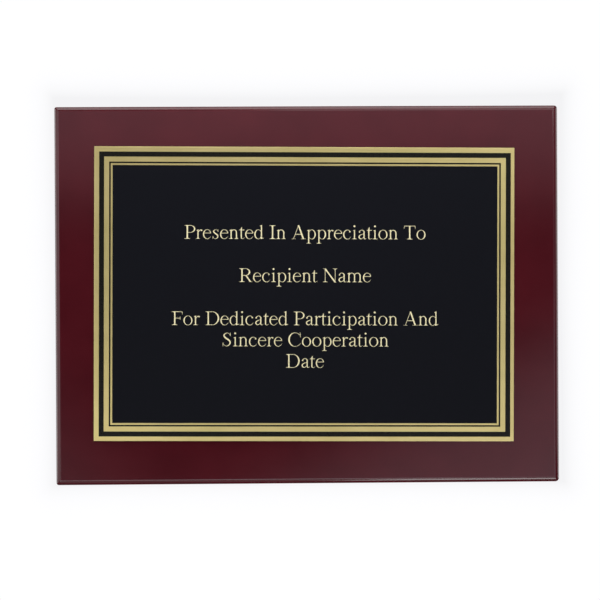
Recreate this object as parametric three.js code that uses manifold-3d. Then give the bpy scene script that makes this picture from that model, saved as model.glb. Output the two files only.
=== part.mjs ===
// A 12 by 9 inch award plaque for a wall: a fibreboard core in a thick glossy lacquer coat, a brass
// engraving plate with enamelled border lines taped to its front, and two keyhole hangers let into its back.
//
// Millimetres. X runs along the width and Z up. The front faces -Y. The origin is the centre of the back,
// on the wall that the plaque hangs on, so every piece lies at y = 0 or in front of it.
import * as THREE from "three";
import { mergeVertices } from "three/addons/utils/BufferGeometryUtils.js";
import Module from "manifold-3d";

const wasm = await Module();
wasm.setup();

// ---------------------------------------------------------------- driving dimensions

const INCH = 25.4;
const GLUE = 0.02; // the film between two pieces that lie face to face
const PAST = 5; // how far a cutter runs past what it cuts

const board = {
  width: 12 * INCH,
  height: 9 * INCH,
  thickness: 16,
  frontEase: 2.2, // radius along the front edges
  backEase: 0.8, // radius along the back edges
  corner: 1.2, // radius of the four corners, seen from the front
};
const lacquer = { thickness: 0.6, coreBackEase: 0.2 };
const backing = { thickness: 0.5, margin: 3.5, corner: 3 };

const plate = {
  width: 10 * INCH,
  height: 7 * INCH,
  thickness: 0.6,
  corner: 0.3,
  // It was stuck on by hand: a little left of the board's middle, a little high and not quite square.
  left: 1.8,
  up: 0.4,
  turn: 0.45, // degrees, clockwise from the front
};
const enamel = {
  width: 248.9,
  height: 171.9,
  thickness: 0.05,
  corner: 0.1,
  // It is printed a little off the plate's middle.
  right: 0.4,
  down: 0.2,
};
// The border's lines, from the enamel's outer edge inwards.
const border = { blackBand: 3.0, middleGold: 3.05, blackLine: 0.95, innerGold: 1.1 };
const tape = { length: 240, width: 1 * INCH, thickness: 0.2, spacing: 70 };

const hanger = {
  length: 44.5,
  width: 16,
  thickness: 1.6,
  setBack: 0.2, // how far its face lies below the wall plane
  entryRadius: 4.8, // the round hole that a wall screw's head goes in by
  entryCentre: -3.5, // along the hanger, from its middle
  slotHalfWidth: 2.4,
  slotEnd: 6, // centre of the slot's round end, along the hanger
  screwCentre: 17, // of each screw, from the hanger's middle
  screwHole: 1.75, // radius
  fromEdge: 34, // hanger's middle to the board's edge
};
const pocket = { clearance: 0.3, headRadius: 5.75, depth: 9 };
const screw = {
  headRadius: 3.1,
  headEdge: 0.2, // the straight rim of its head
  headBelow: 0.15, // how far its head lies below the hanger's face
  shankRadius: 1.4,
  rootRadius: 1.0,
  length: 12.7,
  tip: 2.4,
  clearance: 0.3,
  recess: { span: 3.4, width: 0.8, depth: 1.3 },
};

// Planes along Y, from the wall to the front.
const boardBack = -(backing.thickness + GLUE);
const boardFront = boardBack - board.thickness;
const tapeBack = boardFront - GLUE;
const plateBack = tapeBack - tape.thickness - GLUE;
const enamelBack = plateBack - plate.thickness - GLUE;

// ---------------------------------------------------------------- materials

const fibreboard = { color: 0x9a7448, roughness: 0.9, metalness: 0 };
const redLacquer = { color: 0x4a1519, roughness: 0.08, metalness: 0 };
const blackPaper = { color: 0x1b1a1a, roughness: 0.85, metalness: 0 };
const clearTape = { color: 0xd9d6cb, roughness: 0.5, metalness: 0 };
const brass = { color: 0xb89f66, roughness: 0.35, metalness: 1 };
const blackEnamel = { color: 0x17171a, roughness: 0.25, metalness: 0 };
const platedSteel = { color: 0xb6b2a6, roughness: 0.35, metalness: 1 };

// One named sub-part, with a material of its own.
function piece(name, geometry, finish) {
  const mesh = new THREE.Mesh(geometry, new THREE.MeshStandardMaterial(finish));
  mesh.name = name;
  return mesh;
}

// ---------------------------------------------------------------- solids

// A three.js geometry as a manifold-3d solid, for cutting and joining.
function solid(geometry) {
  const bare = geometry.index ? geometry.toNonIndexed() : geometry.clone();
  bare.deleteAttribute("normal");
  bare.deleteAttribute("uv");
  const merged = mergeVertices(bare, 1e-4);
  return new wasm.Manifold(
    new wasm.Mesh({
      numProp: 3,
      vertProperties: merged.attributes.position.array,
      triVerts: new Uint32Array(merged.index.array),
    }),
  );
}

// A manifold-3d solid back as a three.js geometry.
function geometryOf(made) {
  const mesh = made.getMesh();
  const geometry = new THREE.BufferGeometry();
  geometry.setAttribute("position", new THREE.BufferAttribute(mesh.vertProperties, 3));
  geometry.setIndex(new THREE.BufferAttribute(mesh.triVerts, 1));
  geometry.computeVertexNormals();
  return geometry;
}

// Draws a rectangle across x = 0 from one height to another, with a radius at its lower and upper corners.
function drawRectangle(path, halfWidth, low, high, lowRadius, highRadius) {
  path.moveTo(-halfWidth + lowRadius, low);
  path.absarc(halfWidth - lowRadius, low + lowRadius, lowRadius, -Math.PI / 2, 0);
  path.absarc(halfWidth - highRadius, high - highRadius, highRadius, 0, Math.PI / 2);
  path.absarc(-halfWidth + highRadius, high - highRadius, highRadius, Math.PI / 2, Math.PI);
  path.absarc(-halfWidth + lowRadius, low + lowRadius, lowRadius, Math.PI, 1.5 * Math.PI);
  return path;
}

function rectangle(width, height, radius, path = new THREE.Shape()) {
  return drawRectangle(path, width / 2, -height / 2, height / 2, radius, radius);
}

// An upright slot with round ends, between the centres of its lower and its upper end.
function uprightSlot(radius, lowCentre, highCentre) {
  const shape = new THREE.Shape();
  shape.absarc(0, highCentre, radius, 0, Math.PI);
  shape.absarc(0, lowCentre, radius, Math.PI, 2 * Math.PI);
  shape.closePath();
  return shape;
}

// Extrudes an outline drawn in X and Z from the plane y = back towards the front.
function extrudeForward(outline, back, thickness, curveSegments) {
  const geometry = new THREE.ExtrudeGeometry(outline, {
    depth: thickness,
    bevelEnabled: false,
    curveSegments,
  });
  return geometry.rotateX(Math.PI / 2).translate(0, back, 0);
}

// A board between two planes of Y, with eased front and back edges that mitre at its corners: what three
// extrusions, one along each axis, have in common.
function easedBoard({ width, height, front, back, frontEase, backEase, corner }) {
  const extrudeSection = (across, along) =>
    new THREE.ExtrudeGeometry(
      drawRectangle(new THREE.Shape(), across / 2, front, back, frontEase, backEase),
      { depth: along, bevelEnabled: false, curveSegments: 8 },
    );
  const alongZ = extrudeSection(width, height).translate(0, 0, -height / 2);
  const alongX = extrudeSection(height, width).rotateY(-Math.PI / 2).translate(width / 2, 0, 0);
  const alongY = extrudeForward(rectangle(width, height, corner), back, back - front, 4);
  return solid(alongZ).intersect(solid(alongX)).intersect(solid(alongY));
}

// ---------------------------------------------------------------- hangers and their screws

// The keyhole: a round entry with a slot running up from it.
function keyhole() {
  const { entryRadius, entryCentre, slotHalfWidth, slotEnd } = hanger;
  const meet = Math.acos(slotHalfWidth / entryRadius);
  const path = new THREE.Path();
  path.absarc(0, slotEnd, slotHalfWidth, 0, Math.PI);
  path.absarc(0, entryCentre, entryRadius, Math.PI - meet, 2 * Math.PI + meet);
  path.closePath();
  return path;
}

const hangerEndCentre = (hanger.length - hanger.width) / 2;
const screwCentres = [-hanger.screwCentre, hanger.screwCentre];

// The hanger, upright about the origin, with a countersink at each end.
function keyholeHanger() {
  const outline = uprightSlot(hanger.width / 2, -hangerEndCentre, hangerEndCentre);
  outline.holes.push(keyhole());
  let made = solid(extrudeForward(outline, -hanger.setBack, hanger.thickness, 16));
  const face = -hanger.setBack;
  const rim = screw.headRadius + screw.headEdge + screw.headBelow + screw.clearance;
  const profile = [
    new THREE.Vector2(0, face - PAST),
    new THREE.Vector2(hanger.screwHole, face - PAST),
    new THREE.Vector2(hanger.screwHole, face - (rim - hanger.screwHole)),
    new THREE.Vector2(rim, face),
    new THREE.Vector2(rim, face + PAST),
    new THREE.Vector2(0, face + PAST),
  ];
  for (const z of screwCentres) {
    made = made.subtract(solid(new THREE.LatheGeometry(profile, 24).translate(0, 0, z)));
  }
  return geometryOf(made);
}

// A countersunk cross-head wood screw on the Y axis, its head just below the hanger's face.
function woodScrew() {
  const face = -hanger.setBack - screw.headBelow;
  const headEnd = face - screw.headEdge - (screw.headRadius - screw.shankRadius);
  const end = face - screw.length;
  const turned = new THREE.LatheGeometry(
    [
      new THREE.Vector2(0, end),
      new THREE.Vector2(screw.rootRadius, end + screw.tip),
      new THREE.Vector2(screw.shankRadius, end + 2 * screw.tip),
      new THREE.Vector2(screw.shankRadius, headEnd),
      new THREE.Vector2(screw.headRadius, face - screw.headEdge),
      new THREE.Vector2(screw.headRadius, face),
      new THREE.Vector2(0, face),
    ],
    20,
  );
  const { span, width, depth } = screw.recess;
  const bar = (x, z) => solid(new THREE.BoxGeometry(x, 2 * depth, z).translate(0, face, 0));
  return geometryOf(solid(turned).subtract(bar(span, width)).subtract(bar(width, span)));
}

// What is routed out of the core for one upright hanger: a shallow seat that it lies in, a deep slot for
// the wall screw's head and a pilot hole for each of its own screws.
function hangerPocket() {
  const seatDepth = hanger.setBack + hanger.thickness + pocket.clearance;
  const seat = uprightSlot(hanger.width / 2 + pocket.clearance, -hangerEndCentre, hangerEndCentre);
  const headSlot = uprightSlot(pocket.headRadius, hanger.entryCentre, hanger.slotEnd);
  let cut = solid(extrudeForward(seat, PAST, PAST + seatDepth, 8));
  cut = cut.add(solid(extrudeForward(headSlot, PAST, PAST + pocket.depth, 8)));
  const pilotRadius = screw.shankRadius + screw.clearance;
  const pilotEnd = -(hanger.setBack + screw.headBelow + screw.length + screw.clearance);
  for (const z of screwCentres) {
    const pilot = new THREE.CylinderGeometry(pilotRadius, pilotRadius, PAST - pilotEnd, 16);
    cut = cut.add(solid(pilot.translate(0, (PAST + pilotEnd) / 2, z)));
  }
  return geometryOf(cut);
}

// One hanger with its screws, as a group about the hanger's middle.
function hangerSet(name, screwNames) {
  const set = new THREE.Group();
  set.add(piece(`keyhole_hanger_${name}`, keyholeHanger(), platedSteel));
  screwNames.forEach((end, i) => {
    const fixing = piece(`${name}_hanger_screw_${end}`, woodScrew(), platedSteel);
    fixing.position.z = screwCentres[i];
    set.add(fixing);
  });
  return set;
}

// The hanger at the top hangs the plaque wide. The one on the side, turned so that its slot points away
// from the middle, hangs it tall.
const topSet = hangerSet("top", ["lower", "upper"]);
topSet.position.z = board.height / 2 - hanger.fromEdge;
const sideSet = hangerSet("side", ["inner", "outer"]);
sideSet.position.x = board.width / 2 - hanger.fromEdge;
sideSet.rotation.y = Math.PI / 2;
const hangerSets = [topSet, sideSet];

// Cuts the same upright cutter out of a solid at each hanger.
function cutAtHangers(made, makeCutter) {
  for (const set of hangerSets) {
    set.updateMatrix();
    made = made.subtract(solid(makeCutter().applyMatrix4(set.matrix)));
  }
  return made;
}

// ---------------------------------------------------------------- board

// The core's outside. With a gap it is that much larger: the hollow of the lacquer coat around it.
function coreShape(back, gap = 0) {
  const inset = lacquer.thickness + GLUE - gap;
  return easedBoard({
    width: board.width - 2 * inset,
    height: board.height - 2 * inset,
    front: boardFront + inset,
    back,
    frontEase: board.frontEase - inset,
    backEase: lacquer.coreBackEase,
    corner: board.corner - inset,
  });
}

function boardCore() {
  return geometryOf(cutAtHangers(coreShape(boardBack), hangerPocket));
}

function lacquerShell() {
  const outside = easedBoard({ ...board, front: boardFront, back: boardBack });
  return geometryOf(outside.subtract(coreShape(boardBack + PAST, GLUE)));
}

function backingSheet() {
  const width = board.width - 2 * backing.margin;
  const height = board.height - 2 * backing.margin;
  const sheet = extrudeForward(rectangle(width, height, backing.corner), 0, backing.thickness, 4);
  const windowRadius = hanger.width / 2 + 2 * pocket.clearance;
  const makeWindow = () =>
    extrudeForward(uprightSlot(windowRadius, -hangerEndCentre, hangerEndCentre), PAST, 2 * PAST, 8);
  return geometryOf(cutAtHangers(solid(sheet), makeWindow));
}

// ---------------------------------------------------------------- engraving plate

function tapeStrip(name, z) {
  const geometry = new THREE.BoxGeometry(tape.length, tape.thickness, tape.width);
  const strip = piece(`tape_strip_${name}`, geometry, clearTape);
  strip.position.set(0, tapeBack - tape.thickness / 2, z);
  return strip;
}

function brassPlate() {
  return extrudeForward(rectangle(plate.width, plate.height, plate.corner), 0, plate.thickness, 3);
}

// A layer of enamel from one distance in from the print's outer edge to another, or all over the middle.
function enamelLayer(name, from, to) {
  const inset = (distance, path) =>
    rectangle(enamel.width - 2 * distance, enamel.height - 2 * distance, enamel.corner, path);
  const outline = inset(from);
  if (to !== undefined) {
    outline.holes.push(inset(to, new THREE.Path()));
  }
  const layer = piece(name, extrudeForward(outline, 0, enamel.thickness, 2), blackEnamel);
  layer.position.set(enamel.right, enamelBack, -enamel.down);
  return layer;
}

// The plate with its print on the front and its tape on the back, as one group that is set on the board.
function engravingPlate() {
  const sheet = piece("brass_plate", brassPlate(), brass);
  sheet.position.y = plateBack;
  const lineFrom = border.blackBand + border.middleGold;
  const lineTo = lineFrom + border.blackLine;
  const set = new THREE.Group();
  set.add(tapeStrip("top", tape.spacing), tapeStrip("middle", 0), tapeStrip("bottom", -tape.spacing));
  set.add(sheet);
  set.add(enamelLayer("enamel_outer_band", 0, border.blackBand));
  set.add(enamelLayer("enamel_inner_line", lineFrom, lineTo));
  set.add(enamelLayer("enamel_field", lineTo + border.innerGold));
  set.position.set(-plate.left, 0, plate.up);
  set.rotation.y = THREE.MathUtils.degToRad(plate.turn);
  return set;
}

// ---------------------------------------------------------------- assembly

const plaque = new THREE.Group();
plaque.add(piece("board_core", boardCore(), fibreboard));
plaque.add(piece("lacquer_shell", lacquerShell(), redLacquer));
plaque.add(piece("backing_sheet", backingSheet(), blackPaper));
plaque.add(engravingPlate());
plaque.add(...hangerSets);

export default plaque;
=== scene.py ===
"""A 12 by 9 inch award plaque: the look of every piece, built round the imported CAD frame.

Metres. +X is to the right as seen from the front, the front faces -Y and +Z is up. A piece's place and
thickness come from its box in the CAD frame. Other sizes of the pieces are written in millimetres times MM,
the lettering in thousandths of its size and the stage in metres.
"""

from math import asin, cos, pi, radians, sin

import bmesh
import bpy
from mathutils import Matrix, Vector
from mathutils.geometry import delaunay_2d_cdt


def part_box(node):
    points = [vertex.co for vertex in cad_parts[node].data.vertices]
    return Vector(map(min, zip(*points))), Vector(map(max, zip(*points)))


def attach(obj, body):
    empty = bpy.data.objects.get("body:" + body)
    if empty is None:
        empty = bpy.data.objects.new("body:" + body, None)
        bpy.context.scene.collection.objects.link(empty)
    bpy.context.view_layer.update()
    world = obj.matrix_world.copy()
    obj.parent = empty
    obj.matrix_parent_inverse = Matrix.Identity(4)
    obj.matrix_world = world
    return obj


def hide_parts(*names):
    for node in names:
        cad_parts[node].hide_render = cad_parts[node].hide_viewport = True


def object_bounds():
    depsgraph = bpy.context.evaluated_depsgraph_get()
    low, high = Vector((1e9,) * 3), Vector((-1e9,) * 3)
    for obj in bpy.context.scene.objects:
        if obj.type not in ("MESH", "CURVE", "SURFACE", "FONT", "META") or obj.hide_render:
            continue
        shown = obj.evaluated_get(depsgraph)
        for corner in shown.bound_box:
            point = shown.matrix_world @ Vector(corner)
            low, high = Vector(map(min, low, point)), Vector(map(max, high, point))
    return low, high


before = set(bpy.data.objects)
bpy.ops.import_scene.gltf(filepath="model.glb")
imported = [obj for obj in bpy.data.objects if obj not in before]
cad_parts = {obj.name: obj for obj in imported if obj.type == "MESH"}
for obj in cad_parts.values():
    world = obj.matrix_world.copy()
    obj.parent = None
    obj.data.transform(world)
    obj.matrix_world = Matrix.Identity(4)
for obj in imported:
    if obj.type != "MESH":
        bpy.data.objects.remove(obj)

MM = 0.001
CAD_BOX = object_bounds()

# ---------------------------------------------------------------- driving dimensions

FRONT_EASE = 2.2 * MM  # how deep the coat's front edges are rounded over
FRONT_ROLL = 3.2 * MM  # how far in that rounding reaches, since buffing draws it out over the face
BACK_EASE = 0.8 * MM  # rounding along the coat's back edges
COAT = 0.6 * MM
CORNERS = (2.0 * MM, 1.3 * MM, 1.5 * MM, 2.2 * MM)  # top right, top left, bottom left, bottom right
LEAST_CORNER = 0.35 * MM  # the smallest radius that a ring of the coat comes down to
FLAT_INSETS = (0.1, 1, 4, 12, 30, 60, 90)  # of rings over the flat front, in millimetres past its rounding
INNER_INSETS = (90, 12)  # and of the coat's inner skin
CORNER_STEPS = 6  # of each of the coat's corners, seen from the front
BACK_EASE_STEPS = 6
FRONT_EASE_STEPS = 16
INNER_EASE_STEPS = 8

PLATE_SIZE = (254.0 * MM, 177.8 * MM)
PLATE_TURN = radians(0.45)
PLATE_EDGE = 0.12 * MM  # rounding along the plate's sheared edges
PLATE_CORNER = 0.3 * MM
PLATE_STEPS = 4  # of its corners and of its edges
PLATE_FLAT_RING = 0.05 * MM  # from that rounding to the first ring on the flat front
FIELD_SIZE = (232.7 * MM, 155.7 * MM)
CUT_FLOOR = (0.004 * MM, 0.016 * MM)  # front and back of the bright metal, behind the enamel

CRISP_ANGLE = radians(50)  # faces that meet at more than this keep a crisp edge between them
QUARTER_TURN = pi / 2

# ---------------------------------------------------------------- meshes


def mesh_object(name, points, faces, finish):
    """A mesh object in the scene, with its material."""
    mesh = bpy.data.meshes.new(name)
    mesh.from_pydata([tuple(p) for p in points], [], faces)
    mesh.materials.append(finish)
    made = bpy.data.objects.new(name, mesh)
    bpy.context.scene.collection.objects.link(made)
    return made


def new_piece(name, points, faces, finish, slot_name):
    """A smoothly shaded mesh that rides on the plaque. Its slot name is not used."""
    made = mesh_object(name, points, faces, finish)
    made.data.validate()
    made.data.shade_smooth()
    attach(made, "root")
    return made


def keep_crisp(mesh):
    """Marks the edges where faces meet at more than the crisp angle, so that shading stops there."""
    shape = bmesh.new()
    shape.from_mesh(mesh)
    for edge in shape.edges:
        edge.smooth = len(edge.link_faces) == 2 and edge.calc_face_angle() < CRISP_ANGLE
    shape.to_mesh(mesh)
    shape.free()


def evenly(start, end, steps):
    """Numbers at even steps from start to end, both among them."""
    return [start + (end - start) * step / steps for step in range(steps + 1)]


def rounded_rectangle(half_width, half_height, radii, steps):
    """Points round a rectangle, counter-clockwise from the front, with a radius at each corner."""
    points = []
    for quarter, radius in enumerate(radii):
        across = 1 if quarter in (0, 3) else -1
        up = 1 if quarter < 2 else -1
        for turn in evenly(quarter, quarter + 1, steps):
            angle = turn * QUARTER_TURN
            points.append((
                across * (half_width - radius) + radius * cos(angle),
                up * (half_height - radius) + radius * sin(angle),
            ))
    return points


def nested_rings(half_width, half_height, corners, sections, steps, least_corner=0.0):
    """Rounded rectangles one inside another: a ring of points for each section's inset and Y."""
    rings = []
    for inset, y in sections:
        radii = [max(radius - inset, least_corner) for radius in corners]
        outline = rounded_rectangle(half_width - inset, half_height - inset, radii, steps)
        rings.append([(x, y, z) for x, z in outline])
    return rings


def band(here, there, count):
    """The faces between two rings, each given by where its points start."""
    faces = []
    for i in range(count):
        j = (i + 1) % count
        faces.append((here + i, here + j, there + j, there + i))
    return faces


def loft(rings):
    """Points and faces of a closed skin through rings of equal length, with a flat cap at each end."""
    count = len(rings[0])
    last = (len(rings) - 1) * count
    faces = []
    for here in range(0, last, count):
        faces += band(here, here + count, count)
    faces.append(tuple(reversed(range(count))))
    faces.append(tuple(range(last, last + count)))
    return [p for ring in rings for p in ring], faces


def hollow_shell(outer, inner):
    """Points and faces of a shell whose two skins meet at its lip. The rings of the outer skin run from the
    lip to the middle, where a flat cap closes it, and those of the inner skin run from its cap to the lip."""
    count = len(outer[0])
    outer_cap = (len(outer) - 1) * count
    inner_cap = outer_cap + count
    lip = (len(outer) + len(inner) - 1) * count
    faces = []
    for here in range(0, lip, count):
        if here != outer_cap:
            faces += band(here, here + count, count)
    faces += band(lip, 0, count)
    faces.append(tuple(range(outer_cap, outer_cap + count)))
    faces.append(tuple(reversed(range(inner_cap, inner_cap + count))))
    return [p for ring in outer + inner for p in ring], faces


def open_edges(triangles):
    """The edges that have a triangle on one side only."""
    edges = {(t[i], t[(i + 1) % 3]) for t in triangles for i in range(3)}
    return [(a, b) for a, b in edges if (b, a) not in edges]


def slab(outline_points, triangles, front, back):
    """Points and faces of a flat sheet between two planes of Y, from triangles drawn in X and Z."""
    count = len(outline_points)
    points = [(x, front, z) for x, z in outline_points] + [(x, back, z) for x, z in outline_points]
    faces = [tuple(t) for t in triangles]
    faces += [tuple(count + i for i in reversed(t)) for t in triangles]
    faces += [(b, a, count + a, count + b) for a, b in open_edges(triangles)]
    return points, faces


# ---------------------------------------------------------------- materials

NOISE_LOW = 0.3  # most of a noise lies between these two heights
NOISE_HIGH = 0.7


def material(name, metallic=0.0):
    """A new material's node tree and shader."""
    made = bpy.data.materials.new(name)
    made.use_nodes = True
    shader = made.node_tree.nodes["Principled BSDF"]
    shader.inputs["Metallic"].default_value = metallic
    return made, made.node_tree, shader


def add(tree, kind, inputs=(), **settings):
    """A new node. Its inputs are given by name or number, each a value or another node's output."""
    made = tree.nodes.new("ShaderNode" + kind)
    for name, value in settings.items():
        setattr(made, name, value)
    for name, value in dict(inputs).items():
        if isinstance(value, bpy.types.NodeSocket):
            tree.links.new(value, made.inputs[name])
        else:
            made.inputs[name].default_value = value
    return made


def grain(tree, size, detail=3, stretch=(1, 1, 1), turn=0.0):
    """Noise whose spots are about that many millimetres across, drawn out by stretch along X, Y and Z."""
    place = add(tree, "TexCoord").outputs["Object"]
    scale = [1 / s for s in stretch]
    moved = add(tree, "Mapping", {"Vector": place, "Rotation": (0, turn, 0), "Scale": scale})
    inputs = {"Vector": moved.outputs[0], "Scale": 1 / (size * MM), "Detail": detail, "Roughness": 0.55}
    return add(tree, "TexNoise", inputs).outputs[0]


def shades(tree, height, dark, light):
    """A colour between two, by the height of a noise."""
    ramp = add(tree, "ValToRGB", {"Fac": height})
    for stop, position, color in zip(ramp.color_ramp.elements, (NOISE_LOW, NOISE_HIGH), (dark, light)):
        stop.position = position
        stop.color = (*color, 1)
    return ramp.outputs[0]


def between(tree, height, low, high):
    """A number between two, by the height of a noise."""
    inputs = {"Value": height, 1: NOISE_LOW, 2: NOISE_HIGH, 3: low, 4: high}
    return add(tree, "MapRange", inputs).outputs[0]


def blend(tree, first, second, share):
    """Two heights as one, with that share of the second."""
    return add(tree, "Mix", {"Factor": share, 2: first, 3: second}, data_type="FLOAT").outputs[0]


def relief(tree, layers):
    """Bumps one on another: each layer is a height and how many millimetres it stands."""
    normal = None
    for height, depth in layers:
        inputs = {"Height": height, "Distance": depth * MM, "Strength": 1}
        if normal is not None:
            inputs["Normal"] = normal
        normal = add(tree, "Bump", inputs).outputs[0]
    return normal


def dress(tree, shader, color, roughness, normal):
    """Wires a material's colour, roughness and relief to its shader."""
    tree.links.new(color, shader.inputs["Base Color"])
    tree.links.new(roughness, shader.inputs["Roughness"])
    tree.links.new(normal, shader.inputs["Normal"])


def red_lacquer():
    """Deep red gloss: cloudy stain under the clear, a trace of ripple from the polishing wheel."""
    made, tree, shader = material("red_lacquer")
    cloud = grain(tree, 38, 3)
    ripple = grain(tree, 24, 1)
    peel = grain(tree, 1.3, 2)
    color = shades(tree, cloud, (0.0418, 0.0032, 0.0058), (0.0530, 0.0046, 0.0078))
    normal = relief(tree, [(ripple, 0.012), (peel, 0.0004)])
    dress(tree, shader, color, between(tree, peel, 0.1, 0.13), normal)
    return made


def brass():
    """Satin brass, brushed along the plate's length."""
    made, tree, shader = material("brass", 1.0)
    brushing = grain(tree, 0.35, 4, (60, 1, 1), -PLATE_TURN)
    patch = grain(tree, 30, 2)
    color = shades(tree, patch, (0.79, 0.66, 0.265), (0.87, 0.73, 0.315))
    dress(tree, shader, color, between(tree, brushing, 0.28, 0.37), relief(tree, [(brushing, 0.0012)]))
    return made


def engraved_brass():
    """The pale, frosted metal that the engraving lays bare, with the cutter's fine passes across it."""
    made, tree, shader = material("engraved_brass", 0.35)
    passes = grain(tree, 0.12, 3, (12, 1, 1), -PLATE_TURN)
    color = shades(tree, passes, (0.67, 0.60, 0.345), (0.81, 0.745, 0.48))
    dress(tree, shader, color, between(tree, passes, 0.45, 0.65), relief(tree, [(passes, 0.006)]))
    return made


def black_enamel(name, base, shine, dull, gloss):
    """Baked black enamel: nearly even, with a fine leathery surface."""
    made, tree, shader = material(name)
    skin = grain(tree, 0.8, 3)
    color = shades(tree, skin, base, [1.25 * part for part in base])
    shader.inputs["Specular IOR Level"].default_value = shine
    dress(tree, shader, color, between(tree, skin, gloss, dull), relief(tree, [(skin, 0.0006)]))
    return made


def black_paper():
    """Heavy black kraft paper: short fibres every way, faded a little in patches."""
    made, tree, shader = material("black_paper")
    fibres = grain(tree, 0.5, 5, (5, 1, 1), 0.6)
    more = grain(tree, 0.5, 5, (1, 1, 4), 0.3)
    patch = grain(tree, 26, 4)
    color = shades(tree, blend(tree, fibres, patch, 0.35), (0.0075, 0.0072, 0.0070), (0.024, 0.0228, 0.0218))
    normal = relief(tree, [(fibres, 0.03), (more, 0.03), (patch, 0.15)])
    dress(tree, shader, color, between(tree, fibres, 0.78, 0.95), normal)
    return made


def fibreboard():
    """Raw medium-density fibreboard, as its cut faces and routed pockets show it."""
    made, tree, shader = material("fibreboard")
    fibres = grain(tree, 0.7, 6, (4, 1, 2))
    specks = grain(tree, 2.2, 4)
    color = shades(tree, blend(tree, fibres, specks, 0.4), (0.20, 0.115, 0.050), (0.42, 0.28, 0.145))
    dress(tree, shader, color, between(tree, fibres, 0.8, 0.98), relief(tree, [(fibres, 0.06)]))
    return made


def plated_steel():
    """Stamped steel with thin zinc plating: faintly cloudy, fine scratches along it, duller in patches."""
    made, tree, shader = material("plated_steel", 1.0)
    cloud = grain(tree, 3.5, 4)
    scratches = grain(tree, 0.16, 4, (14, 1, 1), 0.35)
    color = shades(tree, cloud, (0.36, 0.345, 0.31), (0.56, 0.545, 0.505))
    normal = relief(tree, [(scratches, 0.004), (cloud, 0.01)])
    dress(tree, shader, color, between(tree, cloud, 0.26, 0.44), normal)
    return made


def clear_tape():
    """Double-sided tape: cloudy clear film with small trapped bubbles."""
    made, tree, shader = material("clear_tape")
    bubbles = grain(tree, 1.6, 3)
    color = shades(tree, bubbles, (0.58, 0.56, 0.49), (0.72, 0.70, 0.64))
    dress(tree, shader, color, between(tree, bubbles, 0.4, 0.6), relief(tree, [(bubbles, 0.02)]))
    return made


# ---------------------------------------------------------------- board

LACQUER = red_lacquer()
BRASS = brass()
ENGRAVED = engraved_brass()
FIELD_ENAMEL = black_enamel("field_enamel", (0.0035, 0.0038, 0.0057), 0.05, 0.55, 0.45)
BAND_ENAMEL = black_enamel("band_enamel", (0.0032, 0.0029, 0.0016), 0.2, 0.32, 0.26)
PAPER = black_paper()
FIBREBOARD = fibreboard()
STEEL = plated_steel()
TAPE = clear_tape()


def coat_sections(front, back):
    """The coat's outer and inner skin, as the inset and the Y of each of their rings."""
    outer = []
    lip = asin((BACK_EASE - COAT) / BACK_EASE)
    for angle in evenly(lip, QUARTER_TURN, BACK_EASE_STEPS):
        outer.append((BACK_EASE * (1 - sin(angle)), back - BACK_EASE * (1 - cos(angle))))
    for angle in evenly(0, QUARTER_TURN, FRONT_EASE_STEPS):
        outer.append((FRONT_ROLL * (1 - cos(angle)), front + FRONT_EASE * (1 - sin(angle))))
    outer += [(FRONT_ROLL + inset * MM, front) for inset in FLAT_INSETS]
    inner = [(FRONT_ROLL + inset * MM, front + COAT) for inset in INNER_INSETS]
    for angle in evenly(QUARTER_TURN, 0, INNER_EASE_STEPS):
        inset = COAT + (FRONT_ROLL - COAT) * (1 - cos(angle))
        inner.append((inset, front + COAT + (FRONT_EASE - COAT) * (1 - sin(angle))))
    return outer, inner


def lacquer_coat():
    """The sprayed and polished coat: front, four sides and their eased edges, as one hollow shell."""
    low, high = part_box("lacquer_shell")
    half_width, half_height = (high.x - low.x) / 2, (high.z - low.z) / 2
    skins = [
        nested_rings(half_width, half_height, CORNERS, sections, CORNER_STEPS, LEAST_CORNER)
        for sections in coat_sections(low.y, high.y)
    ]
    made = new_piece("lacquer_coat", *hollow_shell(*skins), LACQUER, "red_lacquer")
    keep_crisp(made.data)
    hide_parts("lacquer_shell")


def plate_matrix(node):
    """Where a piece of the engraving plate lies: about its CAD node's centre, turned as the plate is."""
    low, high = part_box(node)
    centre = (low + high) / 2
    centre.y = 0
    return Matrix.Translation(centre) @ Matrix.Rotation(PLATE_TURN, 4, "Y")


def on_plate(node, points):
    """Points drawn about the middle of a piece of the plate, as they lie in the frame."""
    place = plate_matrix(node)
    return [place @ Vector(p) for p in points]


def brass_plate():
    """The sheared brass sheet, its front edge a little rounded over."""
    low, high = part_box("brass_plate")
    half_width, half_height = (side / 2 for side in PLATE_SIZE)
    sections = [(0, high.y)]
    for angle in evenly(0, QUARTER_TURN, PLATE_STEPS):
        sections.append((PLATE_EDGE * (1 - cos(angle)), low.y + PLATE_EDGE * (1 - sin(angle))))
    sections.append((PLATE_EDGE + PLATE_FLAT_RING, low.y))
    points, faces = loft(nested_rings(half_width, half_height, [PLATE_CORNER] * 4, sections, PLATE_STEPS))
    made = new_piece("brass_sheet", on_plate("brass_plate", points), faces, BRASS, "brass")
    keep_crisp(made.data)
    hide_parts("brass_plate")


# ---------------------------------------------------------------- lettering

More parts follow.
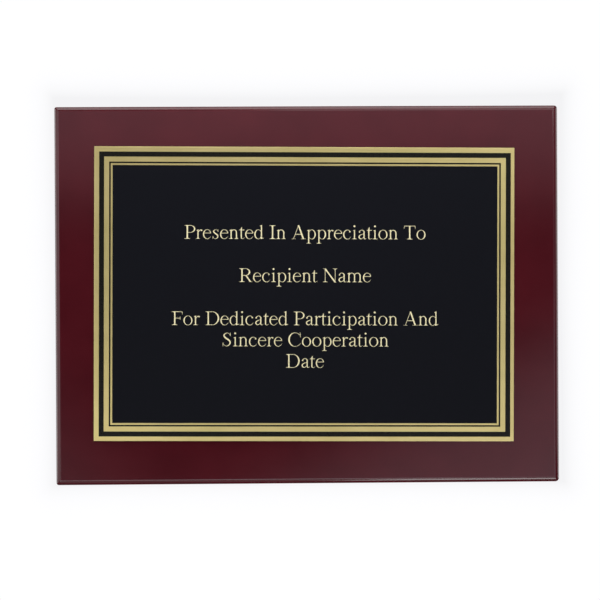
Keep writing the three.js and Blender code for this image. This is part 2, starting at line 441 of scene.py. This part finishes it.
# The letters are drawn here, in thousandths of their size: a book face with thick stems, thin hairlines and
# bracketed serifs. Every stroke is one closed outline, and a letter is what its strokes cover together.
LETTER_SIZE = 12.4 * MM
THOUSANDTH = LETTER_SIZE / 1000
CAP_TOP = 662
LOW_TOP = 450
TALL_TOP = 683
DESCENT = -217
OVERSHOOT = 10
FLAG_DROP = 60  # from the top of a flagged stem to where its flag takes over
FLAG_FOOT = LOW_TOP - FLAG_DROP
WEIGHT = 0.76  # of every stroke, against the widths given below
STEM = 72
CAP_STEM = 88
THICK = 78  # the heavy side of a round letter
MEDIUM = 50
THIN = 28
ARM = 27
BOWL_START = 0.36  # how far across a capital's bowl its round part begins
SERIF = 16
BRACKET = 72  # how far a serif's bracket runs up the stem
BRACKET_BEND = 26  # where its curve turns
CURVE_STEPS = 22  # of a half turn
LEAST_CURVE_STEPS = 4
BRACKET_STEPS = 5
SPINE_STEPS = 6  # between two of its points
DISC_STEPS = 14
SAME_POINT = 1e-9  # corners closer together than this are one
WHOLE_HULL = 0  # the triangulation covers everything between its points


def bar(left, low, right, high):
    """The corners of an upright rectangle."""
    return [(left, low), (right, low), (right, high), (left, high)]


def column(middle, low, high, width=STEM):
    """An upright stroke about its middle line."""
    half = WEIGHT * width / 2
    return bar(middle - half, low, middle + half, high)


def slant(low_middle, high_middle, low, high, width):
    """A straight sloping stroke, as wide as it says along the level."""
    half = WEIGHT * width / 2
    return [
        (low_middle - half, low), (low_middle + half, low),
        (high_middle + half, high), (high_middle - half, high),
    ]


def bend(start, control, end):
    """Points along a quadratic curve, without its first."""
    points = []
    for step in range(1, BRACKET_STEPS + 1):
        t = step / BRACKET_STEPS
        weights = ((1 - t) ** 2, 2 * t * (1 - t), t * t)
        x, y = (sum(w * p for w, p in zip(weights, places)) for places in zip(start, control, end))
        points.append((x, y))
    return points


def foot(middle, level, reach_left, reach_right, width=STEM, up=1):
    """The bracketed serif at a stem's end: standing on its level, or hanging from it with up -1."""
    half = WEIGHT * width / 2
    left, right = middle - half, middle + half
    left_tip, right_tip = middle - reach_left, middle + reach_right
    serif_side = level + up * SERIF
    bracket_bend = level + up * BRACKET_BEND
    bracket_end = level + up * BRACKET
    outline = [(left_tip, level), (right_tip, level), (right_tip, serif_side)]
    outline += bend(outline[-1], (right, bracket_bend), (right, bracket_end))
    outline += [(left, bracket_end)]
    outline += bend(outline[-1], (left, bracket_bend), (left_tip, serif_side))
    return outline


def flag(middle, top):
    """The slanting serif to the left of a stem's top."""
    half = WEIGHT * STEM / 2
    left, right = middle - half, middle + half
    return [
        (right, top - 110), (right, top), (right - 12, top), (left - 56, top - 44),
        (left - 56, top - 60), (left - 14, top - 52), (left, top - 72), (left, top - 110),
    ]


def disc(x, y, radius):
    """A round dot."""
    angles = evenly(0, 2 * pi, DISC_STEPS)[:-1]
    return [(x + radius * cos(a), y + radius * sin(a)) for a in angles]


def bow(x, y, reach, rise, left, right, thin, start, end):
    """A round stroke along an ellipse, from one angle to another: as thick as it says at its left and its
    right, and thin at its top and bottom."""
    steps = max(LEAST_CURVE_STEPS, round(CURVE_STEPS * abs(end - start) / 180))
    angles = [radians(angle) for angle in evenly(start, end, steps)]
    inner_reach = reach - WEIGHT * (left + right) / 2
    inner_rise = rise - WEIGHT * thin
    inner_x = x + WEIGHT * (left - right) / 2
    outline = [(x + reach * cos(a), y + rise * sin(a)) for a in angles]
    outline += [(inner_x + inner_reach * cos(a), y + inner_rise * sin(a)) for a in reversed(angles)]
    return outline


def smooth_line(points):
    """Points along a Catmull-Rom curve that passes through those given."""
    line = []
    padded = [points[0], *points, points[-1]]
    for before, here, there, after in zip(padded, padded[1:], padded[2:], padded[3:]):
        for step in range(SPINE_STEPS):
            t = step / SPINE_STEPS
            place = []
            for a, b, c, d in zip(before, here, there, after):
                square = 2 * a - 5 * b + 4 * c - d
                cube = 3 * b - a - 3 * c + d
                place.append(0.5 * (2 * b + (c - a) * t + square * t * t + cube * t ** 3))
            line.append(place)
    line.append(list(points[-1]))
    return line


def spine(points):
    """A stroke of changing width along a smooth line through points given as x, y and width."""
    line = smooth_line(points)
    left, right = [], []
    for i, (x, y, width) in enumerate(line):
        ahead = Vector(line[min(i + 1, len(line) - 1)][:2]) - Vector(line[max(i - 1, 0)][:2])
        side = Vector((-ahead.y, ahead.x)).normalized() * WEIGHT * width / 2
        left.append((x + side.x, y + side.y))
        right.append((x - side.x, y - side.y))
    return left + right[::-1]


def ring(x, y, reach, rise, thick, thin):
    """A whole bow, as two halves."""
    return [bow(x, y, reach, rise, thick, thick, thin, turn, turn + 180) for turn in (-90, 90)]


def beak(x, top, drop):
    """The upright tick that ends an arm or a curve, wide at the top and narrow at its tip below."""
    return [(x - 28, top), (x, top), (x + 14, top - drop), (x - 4, top - drop)]


def stem_with_arch(stem_middle, arch_middle, reach_left=102, reach_right=97):
    """The right-hand stem of n or m and the arch that springs to it from the stem before."""
    reach = stem_middle + WEIGHT * STEM / 2 - arch_middle
    return [
        column(stem_middle, 0, 310),
        foot(stem_middle, 0, reach_left, reach_right),
        bow(arch_middle, 305, reach, 155, STEM, STEM, 44, 0, 150),
    ]


def first_stem():
    """The left-hand stem of m, n or r."""
    return [column(118, 0, FLAG_FOOT), foot(118, 0, 102, 97), flag(118, LOW_TOP + OVERSHOOT)]


def cap_bowl(low, high, left, right, thick=92):
    """The half-round of D, P or R with the two arms that it grows from."""
    middle = left + BOWL_START * (right - left)
    rise = (high - low) / 2
    return [
        bar(left, high - ARM, middle, high),
        bar(left, low, middle, low + ARM),
        bow(middle, low + rise, right - middle, rise, thick, thick, ARM, -90, 90),
    ]


def cap_stem(middle, reach_left, reach_right):
    """A capital's stem with a serif at each end."""
    return [
        column(middle, 0, CAP_TOP, CAP_STEM),
        foot(middle, 0, reach_left, reach_right, CAP_STEM),
        foot(middle, CAP_TOP, reach_left, reach_right, CAP_STEM, -1),
    ]


S_LINE = [
    (318, 352, 18), (282, 414, 22), (206, 446, 28), (120, 405, 52), (102, 342, 70), (170, 268, 78),
    (262, 205, 80), (308, 128, 72), (276, 48, 50), (192, 4, 27), (112, 34, 20), (70, 108, 16),
]
TICK = 22  # width of the upright ticks that end an s


def letter_s(scale=1.0, lift=0.0):
    """The small s, or the capital when scaled up, whose strokes thicken half as fast as it grows."""
    growth = 1 + (scale - 1) * 0.5
    line = [(x * scale, y * scale + lift, width * growth) for x, y, width in S_LINE]
    return [
        spine(line),
        bar(308 * scale, 340 * scale + lift, 308 * scale + TICK, 455 * scale + lift),
        bar(58 * scale, -5 * scale + lift, 58 * scale + TICK, 124 * scale + lift),
    ]


# Each letter's width, with the room round it, and its strokes.
LETTERS = {
    " ": (250, []),
    "A": (722, [
        slant(100, 352, 0, 674, 32), slant(588, 346, 0, 674, 98), bar(190, 216, 500, 246),
        bar(14, 0, 212, SERIF), bar(452, 0, 706, SERIF),
    ]),
    "C": (667, [
        bow(352, 331, 324, 345, 96, MEDIUM, THIN, 40, 300), beak(616, 676, 236),
        spine([(488, 36, 27), (520, 48, 32), (576, 88, 26), (630, 152, 12)]),
    ]),
    "D": (722, [*cap_stem(154, 138, 80), *cap_bowl(0, CAP_TOP, 154, 685, 96)]),
    "F": (556, [
        *cap_stem(164, 150, 128), bar(160, CAP_TOP - ARM, 530, CAP_TOP), beak(532, CAP_TOP, 144),
        bar(160, 320, 420, 350), bar(414, 264, 436, 406),
    ]),
    "I": (333, cap_stem(166, 148, 148)),
    "N": (722, [
        column(126, 0, 600, 32), column(612, 60, CAP_TOP, 32), slant(618, 116, -11, CAP_TOP, 108),
        foot(126, 0, 114, 112, 32), foot(612, CAP_TOP, 112, 96, 32, -1),
        bar(12, CAP_TOP - SERIF, 150, CAP_TOP),
    ]),
    "P": (556, [*cap_stem(153, 137, 140), *cap_bowl(296, CAP_TOP, 153, 542)]),
    "R": (667, [
        *cap_stem(154, 138, 130), *cap_bowl(306, CAP_TOP, 154, 556), slant(576, 334, 0, 330, 106),
        bar(490, 0, 659, SERIF),
    ]),
    "S": (556, letter_s(1.44, 6)),
    "T": (611, [
        column(305, 0, CAP_TOP, CAP_STEM), foot(305, 0, 145, 145, CAP_STEM),
        bar(30, CAP_TOP - ARM, 581, CAP_TOP), beak(575, CAP_TOP, 150),
        [(611 - x, y) for x, y in reversed(beak(575, CAP_TOP, 150))],
    ]),
    "a": (444, [
        bow(218, 330, 142, 130, 60, STEM, 36, 0, 165), disc(100, 354, 36), column(324, 70, 335),
        spine([(324, 95, STEM), (329, 46, 66), (352, 18, 46), (388, 12, 32), (420, 28, 22), (444, 58, 9)]),
        spine([
            (318, 266, 28), (222, 236, 38), (118, 184, 62), (82, 108, 76),
            (120, 38, 62), (186, 20, 44), (250, 52, 32), (306, 102, 26),
        ]),
    ]),
    "c": (444, [
        bow(232, 225, 207, 235, THICK, MEDIUM, 32, 48, 300), disc(354, 366, 36),
        spine([(316, 30, 32), (340, 42, 32), (374, 72, 24), (408, 122, 10)]),
    ]),
    "d": (500, [
        bow(214, 225, 187, 235, THICK, MEDIUM, THIN, 38, 322),
        column(374, 20, TALL_TOP - FLAG_DROP), flag(374, TALL_TOP),
        [(338, -OVERSHOOT), (352, -OVERSHOOT), (491, 34), (491, 50), (434, 46), (410, 66), (338, 66)],
    ]),
    "e": (444, [
        bow(228, 225, 203, 235, THICK, 56, THIN, 15, 300), bar(50, 266, 414, 292),
        spine([(306, 28, 30), (330, 40, 32), (370, 72, 24), (414, 132, 10)]),
    ]),
    "i": (278, [
        column(137, 0, FLAG_FOOT), foot(137, 0, 121, 116), flag(137, LOW_TOP + OVERSHOOT), disc(133, 630, 48),
    ]),
    "m": (778, [*first_stem(), *stem_with_arch(392, 258, 100, 98), *stem_with_arch(664, 530, 100, 104)]),
    "n": (500, [*first_stem(), *stem_with_arch(380, 252)]),
    "o": (500, ring(250, 225, 221, 235, 80, THIN)),
    "p": (500, [
        column(122, DESCENT, FLAG_FOOT), foot(122, DESCENT, 117, 118), flag(122, LOW_TOP + OVERSHOOT),
        bow(283, 225, 187, 235, MEDIUM, THICK, THIN, -142, 142),
    ]),
    "r": (333, [
        *first_stem(), spine([(146, 330, 34), (190, 402, 42), (246, 434, 46), (292, 418, 50)]),
        disc(292, 412, 37),
    ]),
    "s": (389, letter_s()),
    "t": (278, [
        column(112, 60, 500), [(76, 440), (148, 440), (148, 579), (132, 579), (76, 470)],
        bar(13, 418, 258, LOW_TOP),
        spine([(112, 80, STEM), (120, 34, 58), (154, 8, 40), (204, 10, 28), (279, 56, 13)]),
    ]),
}

# Lines of placeholder wording and where each stands above the middle of the field, in millimetres.
WORDING = [
    ("Presented In Appreciation To", 33.5),
    ("Recipient Name", 7.5),
    ("For Dedicated Participation And", -18.6),
    ("Sincere Cooperation", -31.4),
    ("Date", -44.3),
]


def boundary_loops(points, triangles):
    """The closed lines round a set of triangles."""
    onward = {}
    for a, b in open_edges(triangles):
        onward.setdefault(a, []).append(b)
    loops = []
    while onward:
        here = min(onward)
        loop = []
        while here in onward:
            loop.append(here)
            ways = onward[here]
            there = ways.pop()
            if not ways:
                del onward[here]
            here = there
        loops.append([points[i] for i in loop])
    return loops


def turning(outline):
    """Twice the area inside an outline, negative if it runs clockwise."""
    return sum(a[0] * b[1] - b[0] * a[1] for a, b in zip(outline, outline[1:] + outline[:1]))


def covered(outlines, loose=()):
    """Triangles over a set of outlines that may overlap, and for each the outlines that cover it. Loose
    points between them only make the triangles smaller."""
    corners, faces = [], []
    for outline in outlines:
        face = list(range(len(corners), len(corners) + len(outline)))
        faces.append(face if turning(outline) > 0 else face[::-1])
        corners += [Vector(p) for p in outline]
    corners += [Vector(p) for p in loose]
    found = delaunay_2d_cdt(corners, [], faces, WHOLE_HULL, SAME_POINT, True)
    points, _, triangles, _, _, sources = found
    return points, triangles, sources


def letter_outline(strokes):
    """The closed lines round what a letter's strokes cover together."""
    points, triangles, sources = covered(strokes)
    return boundary_loops(points, [t for t, source in zip(triangles, sources) if source])


def wording_outlines():
    """Every letter's closed lines, in metres about the middle of the field."""
    drawn = {letter: letter_outline(strokes) for letter, (_, strokes) in LETTERS.items() if strokes}
    outlines = []
    for text, height in WORDING:
        x = -sum(LETTERS[letter][0] for letter in text) / 2
        for letter in text:
            for loop in drawn.get(letter, []):
                outlines.append([((x + p.x) * THOUSANDTH, p.y * THOUSANDTH + height * MM) for p in loop])
            x += LETTERS[letter][0]
    return outlines


def engraved_field():
    """The black field with the wording cut through it, and the bright metal at the bottom of the cut."""
    low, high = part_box("enamel_field")
    half_width, half_height = (side / 2 for side in FIELD_SIZE)
    outlines = [bar(-half_width, -half_height, half_width, half_height), *wording_outlines()]
    points, triangles, sources = covered(outlines)
    points = [tuple(p) for p in points]
    # A letter's outer line runs counter-clockwise and the lines round its holes run clockwise.
    turns = [0] + [1 if turning(outline) > 0 else -1 for outline in outlines[1:]]
    in_letter = [sum(turns[i] for i in source) > 0 for source in sources]
    kept = [triangle for triangle, inside in zip(triangles, in_letter) if not inside]
    cut = [triangle for triangle, inside in zip(triangles, in_letter) if inside]
    drawn, faces = slab(points, kept, low.y, high.y)
    field = new_piece("lettered_field", on_plate("enamel_field", drawn), faces, FIELD_ENAMEL, "black_enamel")
    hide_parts("enamel_field")
    drawn, faces = slab(points, cut, high.y + CUT_FLOOR[0], high.y + CUT_FLOOR[1])
    floor = new_piece("engraved_wording", on_plate("enamel_field", drawn), faces, ENGRAVED, "brass")
    for made in (field, floor):
        made.data.shade_flat()


# ---------------------------------------------------------------- the back

PAPER_CORNER = 3.0 * MM
PAPER_CORNER_STEPS = 5
PAPER_WAVE = 0.12 * MM  # how far the sheet's back dips between its high places
PAPER_GRID = 9.0 * MM
WINDOW_END_STEPS = 10
WINDOW_GAP = 0.6 * MM  # between a hanger and the paper cut out round it
STEEL_EDGE = 0.15 * MM  # rounding along the stamped edges
SCREW_EDGE = 0.07 * MM
EDGE_STEPS = 3
EDGE_ANGLE = radians(32)  # an edge sharper than this is rounded over
FLAT_ANGLE = radians(1)  # faces that meet at less than this become one
SAME_CORNER = 0.002 * MM  # corners closer together than this become one


def window(node):
    """The paper's cut-out round a hanger: as the hanger, with round ends, a little larger."""
    low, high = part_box(node)
    x, z = (low.x + high.x) / 2, (low.z + high.z) / 2
    half_width = (high.x - low.x) / 2 + WINDOW_GAP
    half_height = (high.z - low.z) / 2 + WINDOW_GAP
    radii = [min(half_width, half_height)] * 4
    outline = rounded_rectangle(half_width, half_height, radii, WINDOW_END_STEPS)
    return [(x + across, z + up) for across, up in outline]


def paper_dip(x, z):
    """How far the paper's back dips at a place: rises some 80 mm apart, in lines that slower waves bend."""
    wave = sin(x * 71 + 2 * sin(z * 43)) * cos(z * 83 + 1.7 * sin(x * 31))
    return PAPER_WAVE * (0.5 + 0.5 * wave)


def backing_sheet():
    """The black paper over the back, cut out round the hangers. It isn't quite flat."""
    low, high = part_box("backing_sheet")
    half_width, half_height = (high.x - low.x) / 2, (high.z - low.z) / 2
    edge = rounded_rectangle(half_width, half_height, [PAPER_CORNER] * 4, PAPER_CORNER_STEPS)
    windows = [window("keyhole_hanger_top"), window("keyhole_hanger_side")]
    columns = int(half_width / PAPER_GRID)
    rows = int(half_height / PAPER_GRID)
    loose = []
    for i in range(-columns, columns + 1):
        loose += [(i * PAPER_GRID, j * PAPER_GRID) for j in range(-rows, rows + 1)]
    points, triangles, sources = covered([edge, *windows], loose)
    kept = [triangle for triangle, source in zip(triangles, sources) if source == [0]]
    points, faces = slab([tuple(p) for p in points], kept, low.y, high.y)
    half = len(points) // 2
    points[half:] = [(x, y - paper_dip(x, z), z) for x, y, z in points[half:]]
    made = new_piece("backing_paper", points, faces, PAPER, "black_paper")
    keep_crisp(made.data)
    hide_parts("backing_sheet")


def rounded_over(node, name, width):
    """A steel CAD node's shape with its edges rounded over, as stamping, turning and plating leave them."""
    shape = bmesh.new()
    shape.from_mesh(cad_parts[node].data)
    bmesh.ops.remove_doubles(shape, verts=shape.verts, dist=SAME_CORNER)
    bmesh.ops.dissolve_limit(shape, angle_limit=FLAT_ANGLE, verts=shape.verts, edges=shape.edges)
    shared = [edge for edge in shape.edges if len(edge.link_faces) == 2]
    sharp = [edge for edge in shared if edge.calc_face_angle() > EDGE_ANGLE]
    rounding = {"offset": width, "segments": EDGE_STEPS, "profile": 0.5, "clamp_overlap": True}
    bmesh.ops.bevel(shape, geom=sharp, affect="EDGES", **rounding)
    shape.verts.index_update()
    points = [vert.co.copy() for vert in shape.verts]
    faces = [tuple(vert.index for vert in face.verts) for face in shape.faces]
    shape.free()
    made = new_piece(name, points, faces, STEEL, "plated_steel")
    keep_crisp(made.data)
    made.modifiers.new("even_flats", "WEIGHTED_NORMAL").keep_sharp = True
    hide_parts(node)


# ---------------------------------------------------------------- all pieces

lacquer_coat()
brass_plate()
engraved_field()
backing_sheet()
for place in ("top", "side"):
    rounded_over(f"keyhole_hanger_{place}", f"stamped_hanger_{place}", STEEL_EDGE)
for node in [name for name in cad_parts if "screw" in name]:
    rounded_over(node, f"cross_head_{node}", SCREW_EDGE)

# These keep their CAD shape and take a finish.
CARRIED_OVER = {
    "board_core": FIBREBOARD,
    "enamel_outer_band": BAND_ENAMEL,
    "enamel_inner_line": BAND_ENAMEL,
    "tape_strip_top": TAPE,
    "tape_strip_middle": TAPE,
    "tape_strip_bottom": TAPE,
}
for node, finish in CARRIED_OVER.items():
    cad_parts[node].data.materials[0] = finish

# ---------------------------------------------------------------- stage

WHITE = (1, 1, 1, 1)
WORLD_LIGHT = 0.04
FLOOR_LEVEL = -1.25
FLOOR_REACH = 3.0
FLOOR_GLOW = 0.55
CARD_DISTANCE = 2.0
CARD_REACH = 1.3
CARD_HEIGHTS = (-0.8, 0.9)
CARD_COLOR = (0.95, 0.94, 1.05, 1)
BACKDROP_DISTANCE = 8.0
BACKDROP_COLOR = (0.995, 0.995, 1.01, 1)
BACKDROP_LIGHT = 1.012
PAINTED_SHADOW_DEPTH = 0.11  # how much the backdrop darkens beside the plaque: a painted shadow of the plaque
PAINTED_SHADOW_FALL = 18.0  # how fast that fades, by the metre
PAINTED_SHADOW_LIFT = 0.03  # how far up the backdrop the painted shadow is moved
PAINTED_SHADOW_INSET = 0.02  # how far it starts inside the plaque's sides

CAMERA_PLACE = Vector((-0.0238, -1.0248, -0.0005))
CAMERA_YAW = radians(-1.094)
CAMERA_PITCH = radians(-0.15)
CAMERA_ROLL = radians(-0.322)
SENSOR_WIDTH = 36  # in millimetres, as is the focal length
FOCAL_LENGTH = 100

# The soft boxes: azimuth and elevation in degrees, distance, width and height, and how bright each is.
LAMPS = {
    "above": (2, 66, 1.4, (1.0, 1.3), 3.0),
    "above_in_front": (9, 27, 1.6, (0.5, 0.5), 1.4),
    "left": (-58, 0, 1.5, (2.0, 0.7), 1.2),
    "far_left": (-92, 0, 1.5, (1.2, 0.9), 2.4),
    "left_behind": (-125, 0, 1.8, (0.9, 1.0), 1.5),
    "lower_right": (17, -40, 1.6, (0.45, 0.65), 5.3),
    "below": (-10, -43, 1.6, (0.8, 0.8), 0.5),
    "low": (-3, -21, 1.75, (0.8, 0.22), 1.8),
    "lower_left": (-20, -17, 1.78, (0.25, 0.25), 9),
    "upper_right": (25, 15, 1.7, (0.3, 0.3), 4),
    "right_front": (68, 3, 1.7, (0.9, 0.8), 1.0),
    "right": (96, 5, 1.8, (1.0, 1.2), 3.0),
    "right_behind": (120, 5, 1.8, (0.8, 1.2), 2.4),
    "behind": (190, 34, 2.2, (2.4, 1.8), 1.3),
    # The one nearest the plaque, so the red is brightest along the top.
    "close_above": (0, 67, 0.28, (0.42, 0.08), 6.6),
}
UNMIRRORED_LAMPS = ("close_above",)


def stage_mesh(name, points, faces, finish):
    """A mesh that is only scenery."""
    made = mesh_object(name, points, faces, finish)
    return made


def unseen_by(made, *rays):
    """Hides an object from those kinds of ray."""
    for ray in rays:
        setattr(made, "visible_" + ray, False)


def glowing(name, color, strength):
    """A material that gives light, as strong as its function, which adds the nodes for it, says."""
    made = bpy.data.materials.new(name)
    made.use_nodes = True
    tree = made.node_tree
    tree.nodes.clear()
    glow = add(tree, "Emission", {"Color": color, "Strength": strength(tree)})
    add(tree, "OutputMaterial", {"Surface": glow.outputs[0]})
    return made


def fade(tree, across, up, start, end, low, high):
    """A number that turns smoothly from low to high along a slope over the card, from start to end."""
    place = add(tree, "TexCoord").outputs["Object"]
    along = add(tree, "VectorMath", {0: place, 1: (across, 0, up)}, operation="DOT_PRODUCT").outputs["Value"]
    inputs = {"Value": along, 1: start, 2: end, 3: low, 4: high}
    return add(tree, "MapRange", inputs, interpolation_type="SMOOTHSTEP").outputs[0]


def card_glow(tree):
    """What the glossy face mirrors: bright above, bright to the lower right, dim between them."""
    above = fade(tree, 0, 1, 0.10, 0.32, 0.0, 0.62)
    lower_right = fade(tree, 0.458, -0.889, 0.231, 0.40, 0.0, 0.62)
    lower_left = fade(tree, -0.707, -0.707, 0.34, 0.60, 0.0, 0.34)
    corner = fade(tree, 0.458, -0.889, 0.43, 0.66, 0.0, 0.6)
    total = above
    for other in (lower_right, lower_left, corner):
        total = add(tree, "Math", {0: total, 1: other}, operation="ADD").outputs[0]
    return total


def backdrop_with_painted_shadow(tree):
    """White all over, with a painted shadow of the plaque that makes it greyer close round the plaque as the
    camera sees it, above it most.
    """
    low, high = CAD_BOX
    reach = (BACKDROP_DISTANCE - CAMERA_PLACE.y) / (low.y - CAMERA_PLACE.y)
    centre = CAMERA_PLACE + ((low + high) / 2 - CAMERA_PLACE) * reach + Vector((0, 0, PAINTED_SHADOW_LIFT))
    half_size = (high - low) / 2 * reach - Vector((PAINTED_SHADOW_INSET, 0, 0))
    centre.y = BACKDROP_DISTANCE
    half_size.y = 1  # deep enough that only X and Z count
    place = add(tree, "TexCoord").outputs["Object"]
    off = add(tree, "VectorMath", {0: place, 1: centre}, operation="SUBTRACT").outputs[0]
    off = add(tree, "VectorMath", {0: off}, operation="ABSOLUTE").outputs[0]
    off = add(tree, "VectorMath", {0: off, 1: half_size}, operation="SUBTRACT").outputs[0]
    off = add(tree, "VectorMath", {0: off, 1: (0, 0, 0)}, operation="MAXIMUM").outputs[0]
    outside = add(tree, "VectorMath", {0: off}, operation="LENGTH").outputs["Value"]
    falling = add(tree, "Math", {0: outside, 1: -PAINTED_SHADOW_FALL}, operation="MULTIPLY").outputs[0]
    # painted shadow: the backdrop is dimmed near the plaque's outline
    shade = add(tree, "Math", {0: falling}, operation="EXPONENT").outputs[0]
    inputs = {0: shade, 1: -PAINTED_SHADOW_DEPTH, 2: BACKDROP_LIGHT}
    return add(tree, "Math", inputs, operation="MULTIPLY_ADD").outputs[0]


def soft_light(name, azimuth, elevation, distance, size, radiance):
    """A soft box aimed at the plaque, from a direction in degrees, as bright as it says."""
    data = bpy.data.lights.new(name, "AREA")
    data.shape = "RECTANGLE"
    data.size, data.size_y = size
    data.energy = radiance * pi * size[0] * size[1]
    lamp = bpy.data.objects.new(name, data)
    az, el = radians(azimuth), radians(elevation)
    towards = Vector((sin(az) * cos(el), -cos(az) * cos(el), sin(el)))
    lamp.location = towards * distance
    lamp.rotation_mode = "QUATERNION"
    lamp.rotation_quaternion = (-towards).to_track_quat("-Z", "Y")
    unseen_by(lamp, "camera")
    bpy.context.scene.collection.objects.link(lamp)
    return lamp


def room_light():
    """The faint even light that fills the room."""
    world = bpy.data.worlds.new("studio")
    bpy.context.scene.world = world
    world.use_nodes = True
    background = world.node_tree.nodes["Background"]
    background.inputs["Color"].default_value = WHITE
    background.inputs["Strength"].default_value = WORLD_LIGHT


def floor():
    """A pale matt floor that glows a little, so that it lights the plaque from below."""
    paint, tree, shader = material("floor_paint")
    dust = grain(tree, 60, 3)
    color = shades(tree, dust, (0.78, 0.78, 0.78), (0.82, 0.82, 0.82))
    dress(tree, shader, color, between(tree, dust, 0.8, 0.95), relief(tree, [(dust, 0.1)]))
    shader.inputs["Emission Color"].default_value = WHITE
    shader.inputs["Emission Strength"].default_value = FLOOR_GLOW
    reach = FLOOR_REACH
    corners = [(x, y, FLOOR_LEVEL) for x, y in bar(-reach, -reach, reach, reach)]
    unseen_by(stage_mesh("floor", corners, [(0, 1, 2, 3)], paint), "glossy")


def surround():
    """The white ball round everything, which only the camera sees, with the plaque's shadow painted on it."""
    made = stage_mesh("surround", [], [], glowing("surround_glow", BACKDROP_COLOR, backdrop_with_painted_shadow))
    ball = bmesh.new()
    bmesh.ops.create_uvsphere(ball, u_segments=48, v_segments=24, radius=BACKDROP_DISTANCE)
    ball.to_mesh(made.data)
    ball.free()
    unseen_by(made, "diffuse", "glossy", "transmission", "volume_scatter", "shadow")


def card():
    """The card that the glossy face mirrors, out of the camera's sight."""
    low, high = CARD_HEIGHTS
    corners = [(x, -CARD_DISTANCE, z) for x, z in bar(-CARD_REACH, low, CARD_REACH, high)]
    finish = glowing("card_glow", CARD_COLOR, card_glow)
    unseen_by(stage_mesh("card", corners, [(0, 1, 2, 3)], finish), "camera")


def camera():
    """A long lens almost straight in front of the plaque, turned a little and not quite level."""
    data = bpy.data.cameras.new("camera")
    data.sensor_width = SENSOR_WIDTH
    data.lens = FOCAL_LENGTH
    data.clip_start = 0.01
    data.clip_end = 50
    made = bpy.data.objects.new("camera", data)
    yaw, pitch, roll = CAMERA_YAW, CAMERA_PITCH, CAMERA_ROLL
    forward = Vector((-sin(yaw) * cos(pitch), cos(yaw) * cos(pitch), sin(pitch)))
    level = Vector((cos(yaw), sin(yaw), 0))
    upright = level.cross(forward)
    right = level * cos(roll) + upright * sin(roll)
    up = upright * cos(roll) - level * sin(roll)
    place = Matrix((right, up, -forward)).transposed().to_4x4()
    place.translation = CAMERA_PLACE
    made.matrix_world = place
    bpy.context.scene.collection.objects.link(made)
    bpy.context.scene.camera = made


room_light()
floor()
surround()
card()
for name, settings in LAMPS.items():
    lamp = soft_light(name, *settings)
    if name in UNMIRRORED_LAMPS:
        unseen_by(lamp, "glossy")
camera()
bpy.context.scene.view_settings.view_transform = "Standard"
